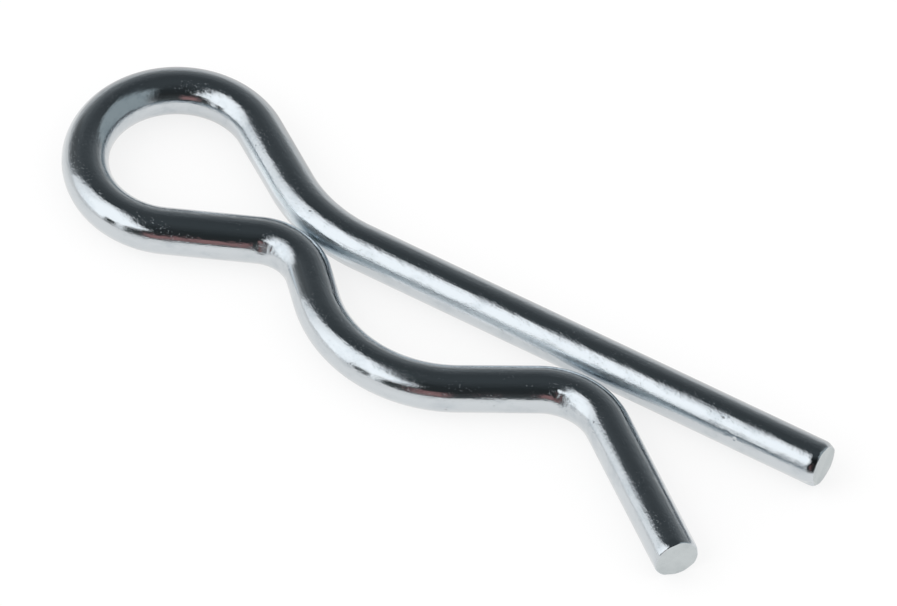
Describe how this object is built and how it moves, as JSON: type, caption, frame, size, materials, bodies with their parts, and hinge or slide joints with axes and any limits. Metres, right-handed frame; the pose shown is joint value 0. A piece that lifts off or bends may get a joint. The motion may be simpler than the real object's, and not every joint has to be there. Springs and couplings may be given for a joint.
{
  "type": "hitch r clip",
  "caption": "Spring wire R clip: a straight leg for a cross hole, a round pull eye, and a humped second leg whose crook snaps over a shaft and ends in a flared lead-in tail.",
  "frame": {"origin": "on the straight leg's axis, where the axis of the gripped shaft crosses it", "axes": "+X along the straight leg towards its free end, +Z square to the plane of the bends, with the humped leg on the -Y side"},
  "size_m": [0.0729, 0.026, 0.004],
  "materials": {
    "zinc_plate": "bright zinc plate on drawn spring steel wire, glossy with fine draw lines and matte sheared ends"
  },
  "bodies": {
    "root": {"clip_wire": "zinc_plate"}
  },
  "joints": []
}
